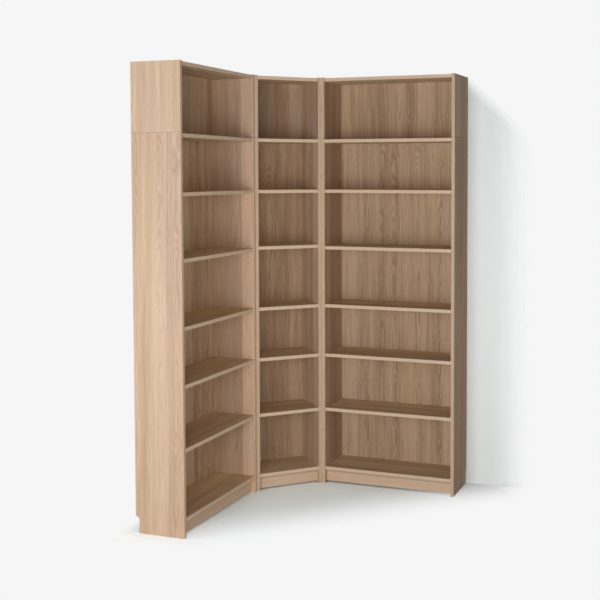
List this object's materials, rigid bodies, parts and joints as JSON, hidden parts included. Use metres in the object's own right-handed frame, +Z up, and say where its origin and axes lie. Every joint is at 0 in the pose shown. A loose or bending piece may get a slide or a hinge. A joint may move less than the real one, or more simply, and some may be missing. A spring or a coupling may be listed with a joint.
{
  "type": "corner bookcase",
  "caption": "Tall L-shaped corner bookcase: two wide open bookcases and a narrow diagonal one between them, each with a height extension, loose shelves on pegs, thin back and plinth.",
  "frame": {"origin": "on the floor, under the centre of the square that the three bookcases cover", "axes": "+Z up; +X to the right along the back wall; +Y towards the back wall; the right bookcase opens towards -Y, the left one towards +X and the narrow one halfway between"},
  "size_m": [1.3642, 1.3642, 2.395],
  "materials": {
    "oak_foil_side": "satin oak-effect foil with upright grain",
    "oak_foil_board": "satin oak-effect foil with level grain",
    "oak_foil_back": "matt oak-effect print on thin fibreboard",
    "steel_fittings": "bright zinc plating",
    "cast_cams": "dull cast zinc",
    "galvanised_steel": "galvanised sheet",
    "steel_nails": "plain steel",
    "beech_dowel": "bare beech"
  },
  "bodies": {
    "root": {"board_dowels": "beech_dowel", "bookcase_back_nails": "steel_nails", "cam_bolts": "steel_fittings", "cam_locks": "cast_cams", "corner_bookcase_back": "oak_foil_back", "corner_bookcase_bottom": "oak_foil_board", "corner_bookcase_fixed_shelf": "oak_foil_board", "corner_bookcase_left_side": "oak_foil_side", "corner_bookcase_plinth": "oak_foil_board", "corner_bookcase_right_side": "oak_foil_side", "corner_bookcase_top": "oak_foil_board", "corner_bracket_screws": "steel_fittings", "corner_brackets": "galvanised_steel", "corner_extension_back": "oak_foil_back", "corner_extension_left_side": "oak_foil_side", "corner_extension_right_side": "oak_foil_side", "corner_extension_top": "oak_foil_board", "extension_back_nails": "steel_nails", "extension_dowels": "beech_dowel", "left_bookcase_back": "oak_foil_back", "left_bookcase_bottom": "oak_foil_board", "left_bookcase_fixed_shelf": "oak_foil_board", "left_bookcase_left_side": "oak_foil_side", "left_bookcase_plinth": "oak_foil_board", "left_bookcase_right_side": "oak_foil_side", "left_bookcase_top": "oak_foil_board", "left_extension_back": "oak_foil_back", "left_extension_left_side": "oak_foil_side", "left_extension_right_side": "oak_foil_side", "left_extension_top": "oak_foil_board", "right_bookcase_back": "oak_foil_back", "right_bookcase_bottom": "oak_foil_board", "right_bookcase_fixed_shelf": "oak_foil_board", "right_bookcase_left_side": "oak_foil_side", "right_bookcase_plinth": "oak_foil_board", "right_bookcase_right_side": "oak_foil_side", "right_bookcase_top": "oak_foil_board", "right_extension_back": "oak_foil_back", "right_extension_left_side": "oak_foil_side", "right_extension_right_side": "oak_foil_side", "right_extension_top": "oak_foil_board", "shelf_pegs": "steel_fittings", "wall_bracket_screws": "steel_fittings", "wall_brackets": "galvanised_steel"},
    "left_shelf_1": {"left_shelf_1": "oak_foil_board"},
    "left_shelf_2": {"left_shelf_2": "oak_foil_board"},
    "left_shelf_3": {"left_shelf_3": "oak_foil_board"},
    "left_shelf_4": {"left_shelf_4": "oak_foil_board"},
    "corner_shelf_1": {"corner_shelf_1": "oak_foil_board"},
    "corner_shelf_2": {"corner_shelf_2": "oak_foil_board"},
    "corner_shelf_3": {"corner_shelf_3": "oak_foil_board"},
    "corner_shelf_4": {"corner_shelf_4": "oak_foil_board"},
    "right_shelf_1": {"right_shelf_1": "oak_foil_board"},
    "right_shelf_2": {"right_shelf_2": "oak_foil_board"},
    "right_shelf_3": {"right_shelf_3": "oak_foil_board"},
    "right_shelf_4": {"right_shelf_4": "oak_foil_board"}
  },
  "joints": [
    {"name": "left_shelf_1_lift", "type": "slide", "parent": "root", "child": "left_shelf_1", "axis": [0, 0, 1], "range_m": [0, 0.298]},
    {"name": "left_shelf_2_lift", "type": "slide", "parent": "root", "child": "left_shelf_2", "axis": [0, 0, 1], "range_m": [0, 0.268]},
    {"name": "left_shelf_3_lift", "type": "slide", "parent": "root", "child": "left_shelf_3", "axis": [0, 0, 1], "range_m": [0, 0.307]},
    {"name": "left_shelf_4_lift", "type": "slide", "parent": "root", "child": "left_shelf_4", "axis": [0, 0, 1], "range_m": [0, 0.268]},
    {"name": "corner_shelf_1_lift", "type": "slide", "parent": "root", "child": "corner_shelf_1", "axis": [0, 0, 1], "range_m": [0, 0.298]},
    {"name": "corner_shelf_2_lift", "type": "slide", "parent": "root", "child": "corner_shelf_2", "axis": [0, 0, 1], "range_m": [0, 0.268]},
    {"name": "corner_shelf_3_lift", "type": "slide", "parent": "root", "child": "corner_shelf_3", "axis": [0, 0, 1], "range_m": [0, 0.298]},
    {"name": "corner_shelf_4_lift", "type": "slide", "parent": "root", "child": "corner_shelf_4", "axis": [0, 0, 1], "range_m": [0, 0.268]},
    {"name": "right_shelf_1_lift", "type": "slide", "parent": "root", "child": "right_shelf_1", "axis": [0, 0, 1], "range_m": [0, 0.298]},
    {"name": "right_shelf_2_lift", "type": "slide", "parent": "root", "child": "right_shelf_2", "axis": [0, 0, 1], "range_m": [0, 0.268]},
    {"name": "right_shelf_3_lift", "type": "slide", "parent": "root", "child": "right_shelf_3", "axis": [0, 0, 1], "range_m": [0, 0.307]},
    {"name": "right_shelf_4_lift", "type": "slide", "parent": "root", "child": "right_shelf_4", "axis": [0, 0, 1], "range_m": [0, 0.268]}
  ]
}
